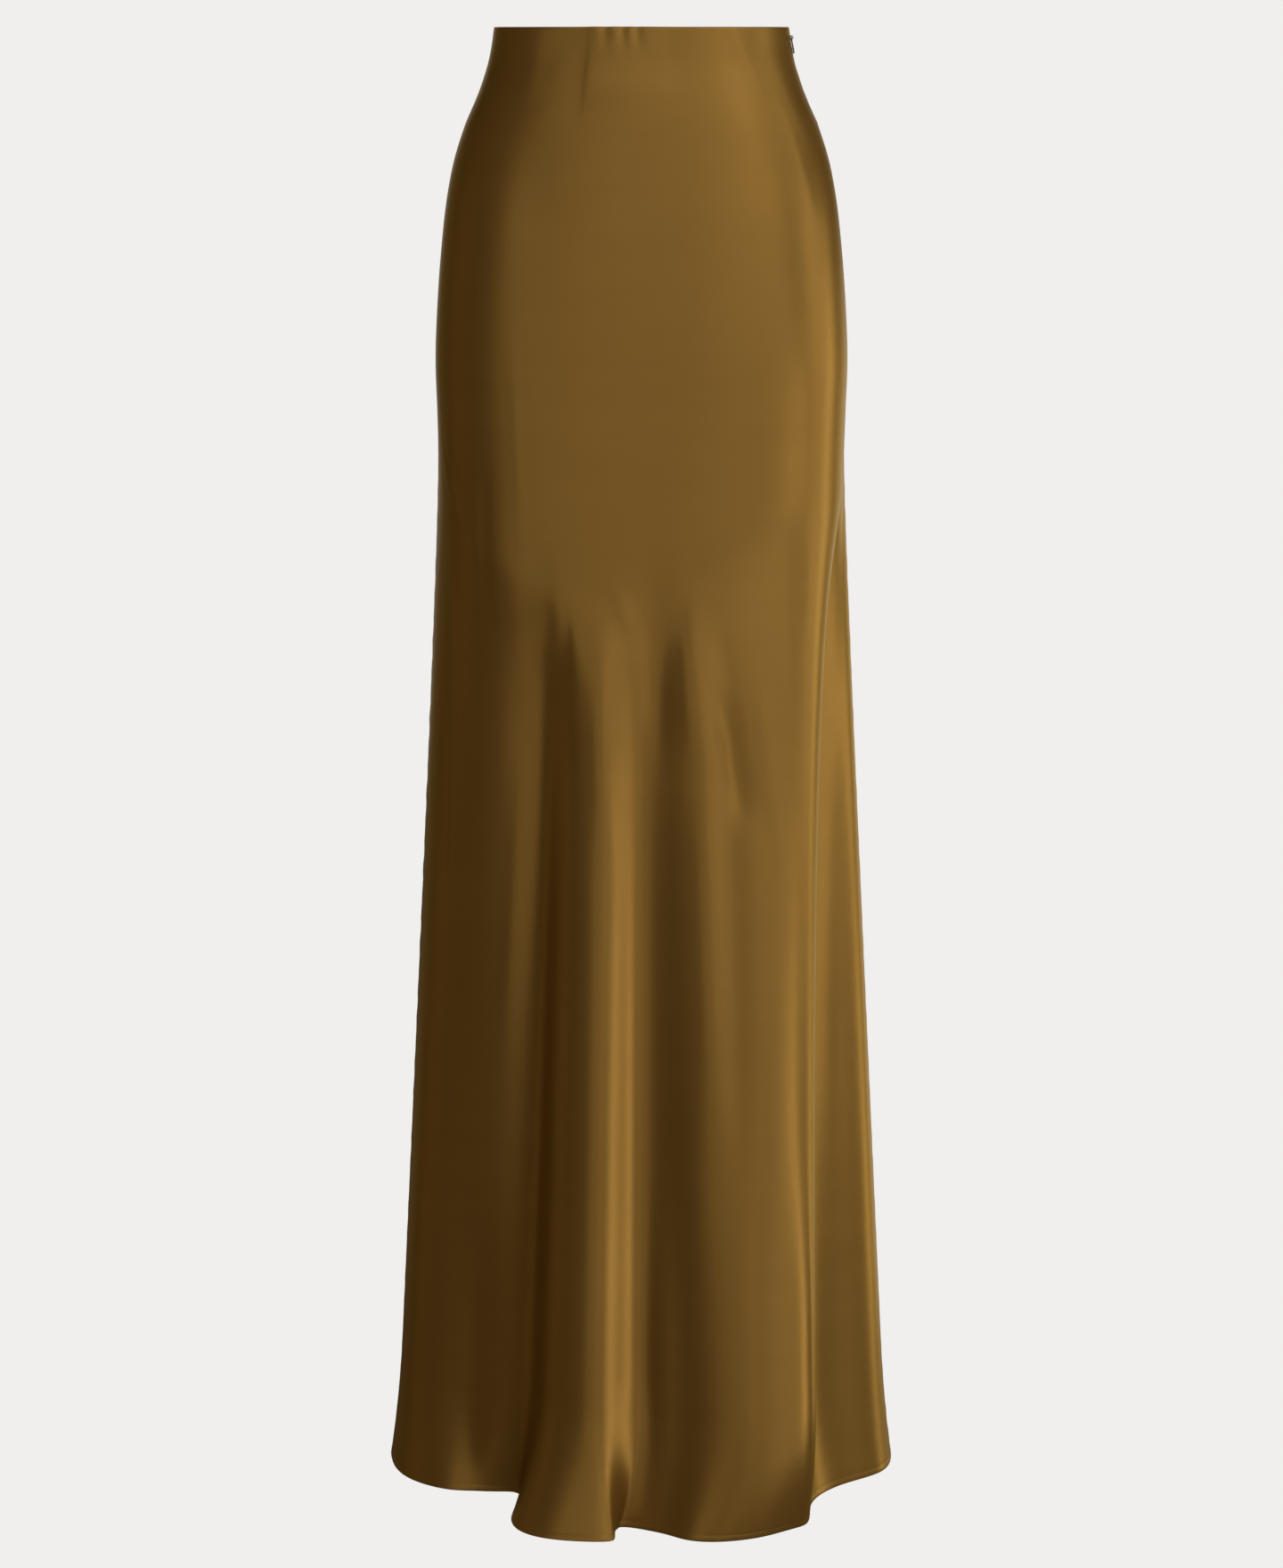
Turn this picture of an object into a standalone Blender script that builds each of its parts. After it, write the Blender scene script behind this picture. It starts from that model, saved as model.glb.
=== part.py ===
"""An a-line maxi skirt in satin, filled out as if worn: front and back panels with a concealed side zip.

Metres, +Z up. The origin is the middle of the waist's top edge, -Y is the front and +X the wearer's left.
"""

import math

import bpy
import numpy as np
from mathutils import Matrix, Vector

# Driving sizes
LENGTH = 1.125  # waist edge to hem
CLOTH = 0.0012  # wall of the satin panels
TAPE = 0.0006  # wall of the zip's tapes
SEAM_GAP = 0.0003  # between pieces that are sewn edge to edge, or lie on each other
SEAM_STEP = 0.010  # step round the hem over which a seam's pace is measured
OVAL_POWER = 3.2  # 2 is an ellipse, and more is squarer at the hips' corners

# The part of the skirt that lies on the body. Each row is one level.
# drop below the waist, half the width, depth in front of the middle, depth behind it
BODY_LEVELS = (
    (0.000, 0.1110, 0.083, 0.080),
    (0.020, 0.1140, 0.086, 0.083),
    (0.046, 0.1218, 0.092, 0.090),
    (0.073, 0.1333, 0.098, 0.098),
    (0.100, 0.1419, 0.103, 0.106),
    (0.127, 0.1472, 0.107, 0.113),
    (0.165, 0.1517, 0.110, 0.120),
    (0.207, 0.1550, 0.112, 0.124),
    (0.248, 0.1567, 0.113, 0.126),
    (0.289, 0.1554, 0.1135, 0.127),
    (0.330, 0.1541, 0.114, 0.128),
    (0.380, 0.1550, 0.115, 0.129),
    (0.430, 0.1560, 0.116, 0.130),
)

# The lines that the folds hang along, round the skirt from the right seam of the wearer by the front.
# name, degrees round the body at its start, drop at its start, growth, foot across and forward,
# and how far the hem sweeps away from that foot, across and forward.
# A growth under 1 opens the fold early, and over 1 late.
FOLD_LINES = (
    ("right seam", 0, 0.30, 0.90, -0.1945, 0.003, -0.0045, 0.000),
    ("right flute corner", 14, 0.32, 0.90, -0.1780, 0.046, -0.0030, 0.006),
    ("right flute front", 30, 0.36, 0.75, -0.1480, 0.064, -0.0010, 0.013),
    ("right flute end", 46, 0.39, 0.70, -0.1160, 0.084, 0.0000, -0.006),
    ("first hollow", 55, 0.40, 0.55, -0.0900, 0.106, -0.0040, -0.013),
    ("first lobe edge", 60.5, 0.41, 0.45, -0.0820, 0.135, -0.0180, 0.007),
    ("first lobe turn", 64.5, 0.41, 0.34, -0.0720, 0.161, -0.0155, 0.018),
    ("first lobe front", 68.6, 0.41, 0.26, -0.0520, 0.1775, -0.0010, 0.0180),
    ("first lobe crest", 75.5, 0.41, 0.26, -0.0370, 0.1825, 0.0105, 0.0145),
    ("first lobe side", 83.5, 0.41, 0.26, -0.0185, 0.1742, -0.0025, 0.0088),
    ("second hollow", 91.5, 0.41, 0.24, -0.0010, 0.1655, -0.0185, -0.0035),
    ("second lobe rise", 98.5, 0.41, 0.27, 0.0145, 0.1705, -0.0145, -0.0035),
    ("second lobe face", 108, 0.40, 0.42, 0.0480, 0.1925, -0.0160, -0.0005),
    ("second lobe crest", 117.5, 0.39, 0.60, 0.0800, 0.2025, -0.0170, -0.0065),
    ("second lobe front", 127.5, 0.37, 0.75, 0.1030, 0.2000, -0.0090, -0.016),
    ("second lobe turn", 142, 0.35, 0.75, 0.1250, 0.190, -0.0060, -0.028),
    ("second lobe flank", 163, 0.34, 0.60, 0.1310, 0.148, -0.0020, -0.012),
    ("third hollow", 170, 0.33, 0.50, 0.1340, 0.087, 0.0050, 0.003),
    ("left flute front", 174, 0.33, 0.80, 0.1570, 0.063, 0.0020, 0.000),
    ("left flute corner", 178, 0.31, 0.90, 0.1870, 0.034, 0.0020, 0.000),
    ("left seam", 184, 0.30, 0.90, 0.1955, -0.014, 0.0043, 0.000),
    ("back left flute", 197, 0.34, 0.90, 0.1760, -0.085, 0.0030, -0.002),
    ("back first hollow", 212, 0.36, 0.80, 0.1280, -0.118, 0.0000, 0.000),
    ("back first lobe edge", 228, 0.40, 0.65, 0.1090, -0.178, 0.0050, -0.002),
    ("back first lobe", 238, 0.42, 0.60, 0.0680, -0.202, 0.0020, -0.004),
    ("back second hollow", 256, 0.42, 0.50, 0.0230, -0.160, 0.0000, 0.002),
    ("back second lobe", 276, 0.42, 0.50, -0.0200, -0.190, 0.0000, -0.003),
    ("back second lobe end", 290, 0.42, 0.50, -0.0650, -0.196, -0.0030, -0.002),
    ("back third hollow", 306, 0.42, 0.60, -0.0930, -0.146, 0.0000, 0.002),
    ("back third lobe", 322, 0.40, 0.70, -0.1300, -0.148, -0.0040, -0.003),
    ("back fourth hollow", 336, 0.36, 0.80, -0.1560, -0.096, 0.0000, 0.000),
    ("back right flute", 350, 0.34, 0.90, -0.1880, -0.052, -0.0045, -0.001),
)
LEFT_SEAM = 20  # its row in FOLD_LINES

HEM_OVAL = (0.1940, 0.168, 0.172)  # the hem's half width and depths, with its folds pressed out
START_EASE = 0.020  # height over which the cloth leaves the body
FLARE_EASE = 0.080  # share of the fall over which the flare starts softly
FOLD_EASE = 0.070  # share of the fall over which a fold opens softly
SWEEP_REACH = 0.10  # height of the hem's sweep

# The zip seam leans to the front at the waist, and is at the side from the zip's end down.
ZIP_LENGTH = 0.190
ZIP_LEAN = math.radians(20)
LEAN_SPREAD = math.radians(50)

# Rows and columns of the cloth
DROPS = (
    0, 0.008, 0.022, 0.046, 0.073, 0.100, 0.130, 0.165, 0.207, 0.255, 0.305, 0.350, 0.390, 0.425,
    0.460, 0.500, 0.555, 0.630, 0.720, 0.820, 0.920, 1.010, 1.060, 1.095, LENGTH,
)
FRONT_COLUMNS = 2.5  # a fold line, on average
BACK_COLUMNS = 3.2

# Zip
TAPE_WIDTH = 0.011
TAPE_COLUMNS = 3
TAPE_DROPS = (0.002, 0.008, 0.022, 0.046, 0.073, 0.100, 0.130, 0.165, ZIP_LENGTH + 0.012)
COIL_WIDTH = 0.0036
COIL_DEPTH = 0.0014
SLIDER_DROP = 0.0080  # drop of the slider's middle, and of the pull tab's pin
SLIDER_SIZE = (0.0060, 0.0024, 0.0110)  # along the waist, through the cloth, down it
SLIDER_ROUND = 0.0005
NECK_SIZE = (0.0007, 0.0034, 0.0034)
LOOP_RADIUS = 0.00140
LOOP_WIRE = 0.00035
LOOP_OUT = 0.00105  # from the cloth's face to the loop's middle
NECK_PROUD = 0.0004  # how far the neck stops short of the cloth's outer face
SLIT_OPEN = 0.0006  # how far each panel's edge stands off the middle of the slider's neck
SLIT_REACH = 0.012  # height over which the slit closes above and below the neck
TAB_LENGTH = 0.0130
TAB_WIDTH = 0.0052
TAB_THICKNESS = 0.0008
TAB_BAR = 0.0008  # the tab's top bar, which hangs in the slider's loop
TAB_WINDOW = (0.0018, 0.0026)  # the slot under that bar
TAB_CORNER = 0.0003
TAB_FOOT_STEPS = 10  # round the tab's foot


def closed_curve(knots, values, at, around):
    """The smooth closed curve through values at knots, read at other places: a cubic spline."""
    gaps = np.diff(np.append(knots, around))
    values = np.asarray(values, float)
    slopes = (np.roll(values, -1) - values) / gaps
    count = len(knots)
    system = np.zeros((count, count))
    for i in range(count):
        system[i, i - 1] += gaps[i - 1]
        system[i, i] += 2 * (gaps[i - 1] + gaps[i])
        system[i, (i + 1) % count] += gaps[i]
    bends = np.linalg.solve(system, 6 * (slopes - np.roll(slopes, 1)))
    at = np.mod(at, around)
    i = np.clip(np.searchsorted(knots, at, side="right") - 1, 0, count - 1)
    j = (i + 1) % count
    along = at - knots[i]
    start = slopes[i] - gaps[i] * (2 * bends[i] + bends[j]) / 6
    cubic = along**3 * (bends[j] - bends[i]) / (6 * gaps[i])
    return values[i] + along * start + along**2 * bends[i] / 2 + cubic


def body_sizes(drop):
    """Half width, front depth and back depth where the cloth lies on the body, eased between the levels."""
    levels = np.array(BODY_LEVELS)
    drops = levels[:, 0]
    i = np.clip(np.searchsorted(drops, drop, side="right") - 1, 0, len(drops) - 2)
    height = drops[i + 1] - drops[i]
    t = np.clip((drop - drops[i]) / height, 0, 1)
    sizes = []
    for column in levels[:, 1:].T:
        lean = np.gradient(column, drops)
        ends = (2 * t**3 - 3 * t**2 + 1) * column[i] + (3 * t**2 - 2 * t**3) * column[i + 1]
        leans = (t**3 - 2 * t**2 + t) * lean[i] + (t**3 - t**2) * lean[i + 1]
        sizes.append(ends + leans * height)
    return sizes


def oval(bearing, half_width, front, back):
    """Across and forward on an oval, at a bearing that starts at -X and turns by the front."""
    depth = np.where(np.sin(bearing) > 0, front, back)
    wide = np.abs(np.cos(bearing) / half_width) ** OVAL_POWER
    deep = np.abs(np.sin(bearing) / depth) ** OVAL_POWER
    reach = (wide + deep) ** (-1 / OVAL_POWER)
    return -reach * np.cos(bearing), reach * np.sin(bearing)


def line_places():
    """The way round the hem to each fold line, and the whole way round."""
    hem = np.array([line[4:6] for line in FOLD_LINES])
    steps = np.linalg.norm(np.roll(hem, -1, axis=0) - hem, axis=1)
    return np.append(0, np.cumsum(steps)[:-1]), steps.sum()


def skirt_points(places, drop):
    """Points of the cloth's outer face at places along the hem's way round and drops below the waist."""
    knots, around = line_places()
    _, degrees, starts, growths, across, forward, sweep_x, sweep_forward = zip(*FOLD_LINES)
    turns = 360 * knots / around
    bearing = closed_curve(knots, degrees - turns, places, around) + 360 * places / around
    bearing = np.radians(bearing)
    start = closed_curve(knots, starts, places, around)
    growth = closed_curve(knots, growths, places, around)
    held = start - START_EASE * np.logaddexp(0, (start - drop) / START_EASE)
    from_zip = (bearing - math.pi) / LEAN_SPREAD
    lean = ZIP_LEAN * np.clip(1 - drop / ZIP_LENGTH, 0, 1) ** 2 * np.exp(-(from_zip**2))
    body_x, body_forward = oval(bearing - lean, *body_sizes(held))
    open_x, open_forward = oval(bearing, *HEM_OVAL)
    fall = np.clip((drop - start) / (LENGTH - start), 0, 1)
    eased = fall**2 / (fall + FLARE_EASE) * (1 + FLARE_EASE)
    opened = fall**2 * ((fall**2 + FOLD_EASE**2) / (1 + FOLD_EASE**2)) ** (growth / 2 - 1)
    x = body_x + (open_x - body_x) * eased
    x = x + (closed_curve(knots, across, places, around) - open_x) * opened
    y = body_forward + (open_forward - body_forward) * eased
    y = y + (closed_curve(knots, forward, places, around) - open_forward) * opened
    swept = np.clip(1 - (LENGTH - drop) / SWEEP_REACH, 0, 1) ** 2
    x = x + closed_curve(knots, sweep_x, places, around) * swept
    y = y + closed_curve(knots, sweep_forward, places, around) * swept
    return np.stack(np.broadcast_arrays(x, -y, -drop), axis=-1)


def unit(vectors):
    return vectors / np.linalg.norm(vectors, axis=-1, keepdims=True)


def skirt_frames(places, drop):
    """Points of the outer face, with the outward and onward (round the skirt) directions there."""
    small = 1e-4
    points = skirt_points(places, drop)
    onward = unit(skirt_points(places + small, drop) - skirt_points(places - small, drop))
    downward = skirt_points(places, drop + small) - skirt_points(places, np.maximum(drop - small, 0))
    return points, unit(np.cross(downward, onward)), onward


def edge_inset(drops):
    """How far a sewn edge stands back from its seam: more at the slit for the slider's neck."""
    beside_neck = np.clip(1 - np.abs(drops - SLIDER_DROP) / SLIT_REACH, 0, 1)
    return SEAM_GAP / 2 + (SLIT_OPEN - SEAM_GAP / 2) * beside_neck


def material(name, colour, roughness, metallic):
    made = bpy.data.materials.new(name)
    made.use_nodes = True
    made.diffuse_color = (*colour, 1)
    shader = made.node_tree.nodes["Principled BSDF"]
    shader.inputs["Base Color"].default_value = (*colour, 1)
    shader.inputs["Roughness"].default_value = roughness
    shader.inputs["Metallic"].default_value = metallic
    return made


def placed(collection, made, surface):
    """Gives an object its material and its collection."""
    made.data.materials.append(surface)
    for holder in list(made.users_collection):
        holder.objects.unlink(made)
    collection.objects.link(made)
    return made


def sheet_object(name, grid):
    """An open sheet through a grid of points, rows down and columns round, facing outwards."""
    rows, columns = grid.shape[:2]
    index = np.arange(rows * columns).reshape(rows, columns)
    corners = (index[:-1, :-1], index[1:, :-1], index[1:, 1:], index[:-1, 1:])
    faces = np.stack(corners, axis=-1).reshape(-1, 4)
    mesh = bpy.data.meshes.new(name)
    mesh.from_pydata(grid.reshape(-1, 3).tolist(), [], faces.tolist())
    made = bpy.data.objects.new(name, mesh)
    bpy.context.scene.collection.objects.link(made)
    return made


def add_wall(sheet, thickness):
    """Gives a sheet its thickness, inwards from the outer face."""
    wall = sheet.modifiers.new("Wall", "SOLIDIFY")
    wall.thickness = thickness
    wall.offset = -1
    wall.use_even_offset = True
    return sheet


def panel_columns(first_line, last_line, columns_per_line):
    """Column places from seam to seam, closer together where the fold lines are."""
    knots, around = line_places()
    lines = np.append(knots, around)[first_line : last_line + 1]
    share = np.linspace(0, 1, round((last_line - first_line) * columns_per_line) + 1)
    by_line = np.interp(share, np.linspace(0, 1, len(lines)), lines)
    evenly = lines[0] + (lines[-1] - lines[0]) * share
    return (by_line + evenly) / 2


def add_panel(collection, name, places, surface):
    """A panel between two seams, its sewn edges standing back from them by half the gap."""
    drops = np.array(DROPS)[:, None]
    grid, _, onward = skirt_frames(places[None, :], drops)
    grid[:, 0] += onward[:, 0] * edge_inset(drops)
    grid[:, -1] -= onward[:, -1] * edge_inset(drops)
    return placed(collection, add_wall(sheet_object(name, grid), CLOTH), surface)


def seam_strip(place, drops, offsets, depth):
    """Points on a strip along a seam, at distances to each side of it and at a depth under the outer face."""
    drops = drops[:, None]
    step = skirt_points(place + SEAM_STEP, drops) - skirt_points(place, drops)
    pace = np.linalg.norm(step, axis=-1) / SEAM_STEP
    points, outward, _ = skirt_frames(place + offsets / pace, drops)
    return points - outward * depth


def add_tape(collection, name, place, side, surface):
    """One half of the zip's tape, behind its panel's edge."""
    drops = np.array(TAPE_DROPS)
    inset = edge_inset(drops)[:, None]
    offsets = side * (np.linspace(0, TAPE_WIDTH, TAPE_COLUMNS + 1) + inset)
    if side < 0:
        offsets = offsets[:, ::-1]
    grid = seam_strip(place, drops, offsets, CLOTH + SEAM_GAP)
    return placed(collection, add_wall(sheet_object(name, grid), TAPE), surface)


def add_coil(collection, name, place, surface):
    """The zip's closed coil, as a bar down the inside of both tapes, from the slider to the zip's end."""
    top = SLIDER_DROP + SLIDER_SIZE[2] / 2 + SEAM_GAP
    between = [drop for drop in TAPE_DROPS if top < drop < ZIP_LENGTH]
    drops = np.array([top, *between, ZIP_LENGTH])
    offsets = np.array([-COIL_WIDTH / 2, 0, COIL_WIDTH / 2])
    grid = seam_strip(place, drops, offsets, CLOTH + TAPE + 2 * SEAM_GAP)
    return placed(collection, add_wall(sheet_object(name, grid), COIL_DEPTH), surface)


def slider_frame(place):
    """The slider's own axes: X along the waist, Y out of the cloth, Z up it, at the cloth's outer face."""
    drop = np.array(SLIDER_DROP)
    point, outward, _ = skirt_frames(np.array(place), drop)
    below = skirt_points(np.array(place), drop + TAB_LENGTH)
    up = unit(point - below)
    along = unit(np.cross(outward, up))
    out = np.cross(up, along)
    turn = Matrix((along, out, up)).transposed().to_4x4()
    return Matrix.Translation(Vector(point)) @ turn


def box_object(name, size, centre, frame):
    bpy.ops.mesh.primitive_cube_add(size=1)
    made = bpy.context.object
    made.name = name
    made.data.transform(Matrix.Diagonal((*size, 1)))
    made.matrix_world = frame @ Matrix.Translation(centre)
    return made


def add_slider(collection, cutters, frame, surface):
    """The slider behind the cloth, its neck through the slit, and the loop that holds the pull tab."""
    behind = -(CLOTH + TAPE + 2 * SEAM_GAP)
    body = box_object("zip_slider", SLIDER_SIZE, (0, behind - SLIDER_SIZE[1] / 2, 0), frame)
    rounded = body.modifiers.new("Rounded", "BEVEL")
    rounded.width = SLIDER_ROUND
    rounded.segments = 2
    neck = box_object("neck", NECK_SIZE, (0, -NECK_SIZE[1] / 2 - NECK_PROUD, 0), frame)
    bpy.ops.mesh.primitive_torus_add(
        major_radius=LOOP_RADIUS, minor_radius=LOOP_WIRE, major_segments=20, minor_segments=8
    )
    loop = bpy.context.object
    loop.name = "loop"
    loop.matrix_world = frame @ Matrix.Translation((0, LOOP_OUT, 0)) @ Matrix.Rotation(math.pi / 2, 4, "Y")
    for piece in (neck, loop):
        placed(cutters, piece, surface)
        piece.hide_render = True
        piece.display_type = "WIRE"
        union = body.modifiers.new("With " + piece.name, "BOOLEAN")
        union.operation = "UNION"
        union.object = piece
    return placed(collection, body, surface)


def add_pull_tab(collection, frame, surface):
    """A flat drop-shaped tab whose top bar hangs in the slider's loop. Its origin is on that bar."""
    outline = bpy.data.curves.new("zip_pull_tab", "CURVE")
    outline.dimensions = "2D"
    outline.fill_mode = "BOTH"
    outline.extrude = TAB_THICKNESS / 2
    half, top, foot = TAB_WIDTH / 2, TAB_BAR / 2, TAB_BAR / 2 - TAB_LENGTH
    neck_half = TAB_WINDOW[0] / 2 + TAB_BAR
    waist = -TAB_BAR / 2 - TAB_WINDOW[1] - TAB_BAR
    swing = [math.pi * step / TAB_FOOT_STEPS for step in range(TAB_FOOT_STEPS + 1)]
    bottom = [(half * math.cos(a), foot + half - half * math.sin(a)) for a in swing]
    edge = bottom + [
        (-neck_half, waist),
        (-neck_half, top - TAB_CORNER),
        (-neck_half + TAB_CORNER, top),
        (neck_half - TAB_CORNER, top),
        (neck_half, top - TAB_CORNER),
        (neck_half, waist),
    ]
    slot_top, slot_foot = -TAB_BAR / 2, -TAB_BAR / 2 - TAB_WINDOW[1]
    slot_half = TAB_WINDOW[0] / 2
    slot = [(slot_half, slot_top), (-slot_half, slot_top), (-slot_half, slot_foot), (slot_half, slot_foot)]
    for points in (edge, slot):
        ring = outline.splines.new("POLY")
        ring.points.add(len(points) - 1)
        for spot, (x, y) in zip(ring.points, points):
            spot.co = (x, y, 0, 1)
        ring.use_cyclic_u = True
    tab = bpy.data.objects.new("zip_pull_tab", outline)
    bpy.context.scene.collection.objects.link(tab)
    hang = Matrix.Rotation(math.pi / 2, 4, "X")
    tab.matrix_world = frame @ Matrix.Translation((0, LOOP_OUT, 0)) @ hang
    return placed(collection, tab, surface)


def build():
    for leftover in list(bpy.data.objects):
        bpy.data.objects.remove(leftover)
    skirt = bpy.data.collections.new("A-line maxi skirt")
    cutters = bpy.data.collections.new("Cutters")
    for collection in (skirt, cutters):
        bpy.context.scene.collection.children.link(collection)
    satin = material("Bronze satin", (0.20, 0.115, 0.030), 0.38, 0.45)
    tape = material("Zip tape", (0.12, 0.075, 0.025), 0.8, 0.0)
    coil = material("Zip coil", (0.14, 0.085, 0.03), 0.45, 0.0)
    metal = material("Zip metal", (0.42, 0.30, 0.14), 0.35, 0.9)

    left_seam = line_places()[0][LEFT_SEAM]
    front = panel_columns(0, LEFT_SEAM, FRONT_COLUMNS)
    back = panel_columns(LEFT_SEAM, len(FOLD_LINES), BACK_COLUMNS)
    add_panel(skirt, "front_panel", front, satin)
    add_panel(skirt, "back_panel", back, satin)
    add_tape(skirt, "zip_tape_front", left_seam, -1, tape)
    add_tape(skirt, "zip_tape_back", left_seam, 1, tape)
    add_coil(skirt, "zip_coil", left_seam, coil)
    frame = slider_frame(left_seam)
    add_slider(skirt, cutters, frame, metal)
    add_pull_tab(skirt, frame, metal)


build()
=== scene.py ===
"""The looks of the a-line maxi skirt: bias-cut satin panels, their seams and stitches, and the side zip."""

import math

import bpy
import numpy as np
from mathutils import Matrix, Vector


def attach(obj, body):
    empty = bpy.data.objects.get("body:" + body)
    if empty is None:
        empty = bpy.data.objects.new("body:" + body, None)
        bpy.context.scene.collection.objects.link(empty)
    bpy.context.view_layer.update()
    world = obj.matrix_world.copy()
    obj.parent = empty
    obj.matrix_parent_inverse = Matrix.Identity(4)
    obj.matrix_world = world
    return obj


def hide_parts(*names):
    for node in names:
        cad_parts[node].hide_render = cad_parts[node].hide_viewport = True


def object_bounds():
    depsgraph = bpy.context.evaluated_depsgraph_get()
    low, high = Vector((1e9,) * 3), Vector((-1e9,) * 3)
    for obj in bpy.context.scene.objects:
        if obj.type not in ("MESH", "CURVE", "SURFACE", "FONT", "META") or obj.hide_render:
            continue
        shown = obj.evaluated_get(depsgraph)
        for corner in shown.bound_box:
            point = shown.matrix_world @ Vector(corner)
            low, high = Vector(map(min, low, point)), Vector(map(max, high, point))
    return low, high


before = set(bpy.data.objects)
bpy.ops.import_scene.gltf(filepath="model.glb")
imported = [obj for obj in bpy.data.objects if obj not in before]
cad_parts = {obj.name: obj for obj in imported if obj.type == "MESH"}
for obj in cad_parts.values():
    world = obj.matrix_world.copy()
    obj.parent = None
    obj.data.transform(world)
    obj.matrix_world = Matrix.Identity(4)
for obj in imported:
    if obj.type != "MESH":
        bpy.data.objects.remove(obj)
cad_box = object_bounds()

# ---------------------------------------------------------------- sizes, in metres

LENGTH = -cad_box[0][2]  # waist edge to hem
SATIN = 0.0007  # the cloth's thickness where it is single
SCENE_GAP = 0.0001  # between the two panels' edges at a seam
OVAL_POWER = 3.2

# drop below the waist, half the width, depth in front of the middle, depth behind it
BODY_LEVELS = (
    (0.000, 0.1110, 0.083, 0.080),
    (0.020, 0.1140, 0.086, 0.083),
    (0.046, 0.1218, 0.092, 0.090),
    (0.073, 0.1333, 0.098, 0.098),
    (0.100, 0.1419, 0.103, 0.106),
    (0.127, 0.1472, 0.107, 0.113),
    (0.165, 0.1517, 0.110, 0.120),
    (0.207, 0.1550, 0.112, 0.124),
    (0.248, 0.1567, 0.113, 0.126),
    (0.289, 0.1554, 0.1135, 0.127),
    (0.330, 0.1541, 0.114, 0.128),
    (0.380, 0.1550, 0.115, 0.129),
    (0.430, 0.1560, 0.116, 0.130),
)

# The lines that the folds hang along, round the skirt from the wearer's right seam by the front.
# name, degrees round the body at its start, drop at its start, growth, foot across and forward,
# and how far the hem sweeps away from that foot, across and forward
FOLD_LINES = (
    ("right seam", 0, 0.30, 0.90, -0.1945, 0.003, -0.0045, 0.000),
    ("right flute corner", 14, 0.32, 0.90, -0.1780, 0.046, -0.0030, 0.006),
    ("right flute front", 30, 0.36, 0.75, -0.1480, 0.064, -0.0010, 0.013),
    ("right flute end", 46, 0.39, 0.70, -0.1160, 0.084, 0.0000, -0.006),
    ("first hollow", 55, 0.40, 0.55, -0.0900, 0.106, -0.0040, -0.013),
    ("first lobe edge", 60.5, 0.41, 0.45, -0.0820, 0.135, -0.0180, 0.007),
    ("first lobe turn", 64.5, 0.41, 0.34, -0.0720, 0.161, -0.0155, 0.018),
    ("first lobe front", 68.6, 0.41, 0.26, -0.0520, 0.1775, -0.0010, 0.0180),
    ("first lobe crest", 75.5, 0.41, 0.26, -0.0370, 0.1825, 0.0105, 0.0145),
    ("first lobe side", 83.5, 0.41, 0.26, -0.0185, 0.1742, -0.0025, 0.0088),
    ("second hollow", 91.5, 0.41, 0.24, -0.0010, 0.1655, -0.0185, -0.0035),
    ("second lobe rise", 98.5, 0.41, 0.27, 0.0145, 0.1705, -0.0145, -0.0035),
    ("second lobe face", 108, 0.40, 0.42, 0.0480, 0.1925, -0.0160, -0.0005),
    ("second lobe crest", 117.5, 0.39, 0.60, 0.0800, 0.2025, -0.0170, -0.0065),
    ("second lobe front", 127.5, 0.37, 0.75, 0.1030, 0.2000, -0.0090, -0.016),
    ("second lobe turn", 142, 0.35, 0.75, 0.1250, 0.190, -0.0060, -0.028),
    ("second lobe flank", 163, 0.34, 0.60, 0.1310, 0.148, -0.0020, -0.012),
    ("third hollow", 170, 0.33, 0.50, 0.1340, 0.087, 0.0050, 0.003),
    ("left flute front", 174, 0.33, 0.80, 0.1570, 0.063, 0.0020, 0.000),
    ("left flute corner", 178, 0.31, 0.90, 0.1870, 0.034, 0.0020, 0.000),
    ("left seam", 184, 0.30, 0.90, 0.1955, -0.014, 0.0043, 0.000),
    ("back left flute", 197, 0.34, 0.90, 0.1760, -0.085, 0.0030, -0.002),
    ("back first hollow", 212, 0.36, 0.80, 0.1280, -0.118, 0.0000, 0.000),
    ("back first lobe edge", 228, 0.40, 0.65, 0.1090, -0.178, 0.0050, -0.002),
    ("back first lobe", 238, 0.42, 0.60, 0.0680, -0.202, 0.0020, -0.004),
    ("back second hollow", 256, 0.42, 0.50, 0.0230, -0.160, 0.0000, 0.002),
    ("back second lobe", 276, 0.42, 0.50, -0.0200, -0.190, 0.0000, -0.003),
    ("back second lobe end", 290, 0.42, 0.50, -0.0650, -0.196, -0.0030, -0.002),
    ("back third hollow", 306, 0.42, 0.60, -0.0930, -0.146, 0.0000, 0.002),
    ("back third lobe", 322, 0.40, 0.70, -0.1300, -0.148, -0.0040, -0.003),
    ("back fourth hollow", 336, 0.36, 0.80, -0.1560, -0.096, 0.0000, 0.000),
    ("back right flute", 350, 0.34, 0.90, -0.1880, -0.052, -0.0045, -0.001),
)
LEFT_SEAM = 20  # its row in FOLD_LINES

HEM_OVAL = (0.1940, 0.168, 0.172)  # half width, depth in front and depth behind, without the folds
START_EASE = 0.020  # height over which the cloth leaves the body
FLARE_EASE = 0.080  # share of the fall over which the skirt starts to widen
FOLD_EASE = 0.070  # share of the fall over which a fold starts
SWEEP_REACH = 0.10  # height above the hem where the hem's sweep starts
ZIP_LENGTH = 0.190
COIL_TOP = 0.0142  # drop of the coil's first turn, under the slider
COIL_PITCH = 0.0011
COIL_DEPTH = 0.0031  # from the cloth's outer face to the middle of the coil
COIL_SIZE = (0.0032, 0.0010)  # across the tapes and through them, between the middles of the wire
COIL_WIRE = 0.00022
ZIP_LEAN = math.radians(20)  # the zip seam leans to the front at the waist
LEAN_SPREAD = math.radians(50)

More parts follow.
